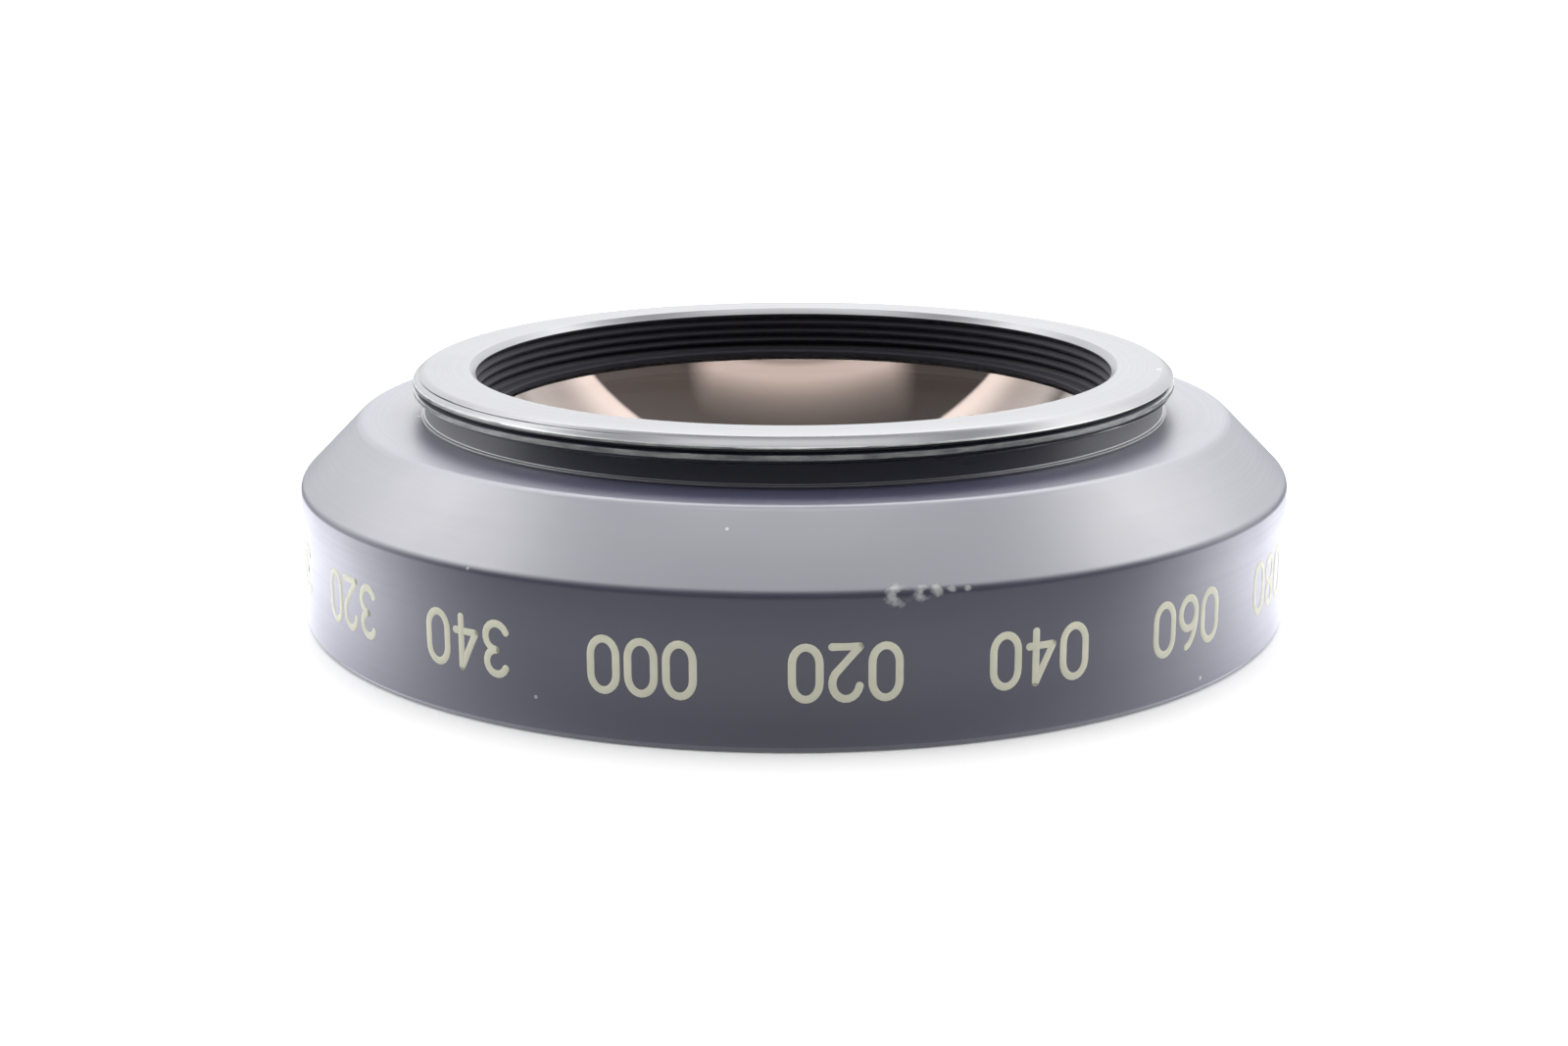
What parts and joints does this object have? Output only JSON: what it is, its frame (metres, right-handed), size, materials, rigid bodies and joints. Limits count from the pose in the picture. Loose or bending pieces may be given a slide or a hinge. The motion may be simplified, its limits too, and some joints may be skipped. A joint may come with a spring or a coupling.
{
  "type": "wide-angle conversion lens",
  "caption": "Round black conversion lens: a thick concave meniscus in a bevelled barrel, with a narrower threaded ring at the rear that screws into a camera lens.",
  "frame": {"origin": "on the optical axis, in the plane of the front rim that the lens stands on", "axes": "+Z along the optical axis, from the front rim to the rear mount; +X and +Y are free, as the form is round"},
  "size_m": [0.0754, 0.0754, 0.0186],
  "materials": {
    "barrel": "satin black anodised",
    "mount_ring": "bright black anodised",
    "meniscus_lens": "polished, coated, edges blackened",
    "retaining_ring": "black anodised",
    "lens_cushion": "matt black"
  },
  "bodies": {
    "root": {"barrel": "barrel", "mount_ring": "mount_ring", "meniscus_lens": "meniscus_lens", "retaining_ring": "retaining_ring", "lens_cushion": "lens_cushion"}
  },
  "joints": []
}
